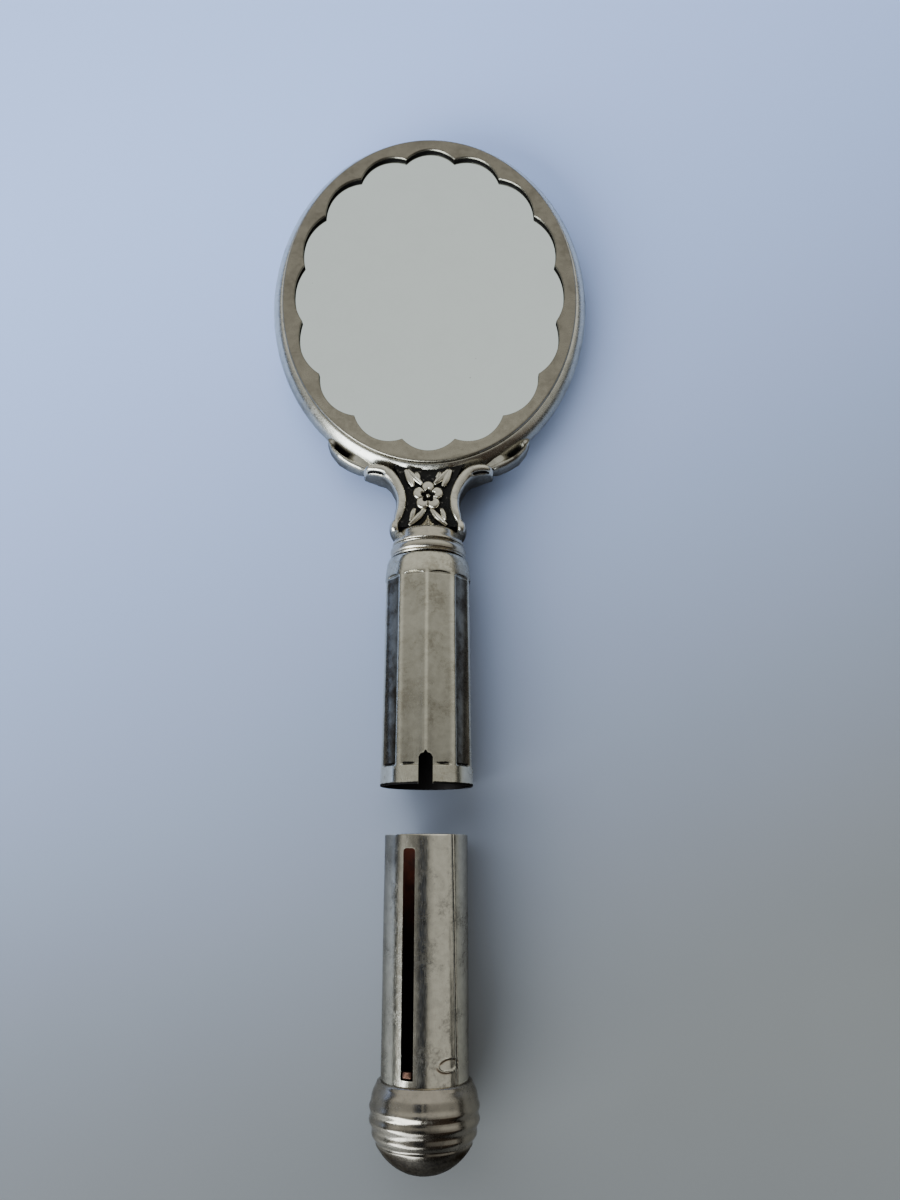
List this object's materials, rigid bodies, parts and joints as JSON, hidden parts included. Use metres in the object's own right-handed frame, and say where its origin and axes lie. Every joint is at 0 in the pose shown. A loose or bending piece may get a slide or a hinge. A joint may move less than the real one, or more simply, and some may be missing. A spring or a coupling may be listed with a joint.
{
  "type": "hand mirror with lipstick holder handle",
  "caption": "Small silver hand mirror with a scalloped oval bezel and a fluted handle that holds a lipstick in a slotted, pull-out barrel with a ball end",
  "frame": {"origin": "middle of the flat field on the back of the head", "axes": "+X across the head, +Y from the handle to the top of the head, +Z out of the glass"},
  "size_m": [0.063, 0.1954, 0.0178],
  "materials": {
    "silver_satin": "worn satin silver with brown tarnish",
    "silver_polished": "worn polished silver",
    "silver_oxidised": "black oxidised silver ground",
    "silver_barrel": "polished silver, scuffed and mottled",
    "mirror_plate": "silvered mirror glass",
    "card": "plain packing card",
    "carrier_metal": "dull brass with lipstick stain"
  },
  "bodies": {
    "mirror": {"bezel_frame": "silver_satin", "back_cover": "silver_satin", "fluted_sleeve": "silver_satin", "head_rim": "silver_polished", "scroll_left": "silver_polished", "scroll_right": "silver_polished", "ear_scroll_left": "silver_polished", "ear_scroll_right": "silver_polished", "neck_collar": "silver_polished", "neck_ring": "silver_polished", "neck_stud": "silver_polished", "sleeve_end_disc": "silver_polished", "shoulder_front": "silver_oxidised", "shoulder_back": "silver_oxidised", "flower_front": "silver_satin", "flower_boss_front": "silver_satin", "upper_leaf_left_front": "silver_satin", "upper_leaf_right_front": "silver_satin", "lower_leaf_left_front": "silver_satin", "lower_leaf_right_front": "silver_satin", "flower_back": "silver_satin", "flower_boss_back": "silver_satin", "upper_leaf_left_back": "silver_satin", "upper_leaf_right_back": "silver_satin", "lower_leaf_left_back": "silver_satin", "lower_leaf_right_back": "silver_satin", "mirror_glass": "mirror_plate", "backing_card": "card"},
    "barrel": {"barrel_tube": "silver_barrel", "barrel_floor": "silver_barrel", "ball_upper_shell": "silver_barrel", "ball_lower_shell": "silver_barrel"},
    "carrier": {"carrier_cup": "carrier_metal", "slider_lug": "carrier_metal"}
  },
  "joints": [
    {"name": "barrel_slide", "type": "slide", "parent": "mirror", "child": "barrel", "axis": [0, 1, 0], "range_m": [-0.015, 0.046]},
    {"name": "carrier_slide", "type": "slide", "parent": "barrel", "child": "carrier", "axis": [0, 1, 0], "range_m": [0, 0.0334]}
  ]
}
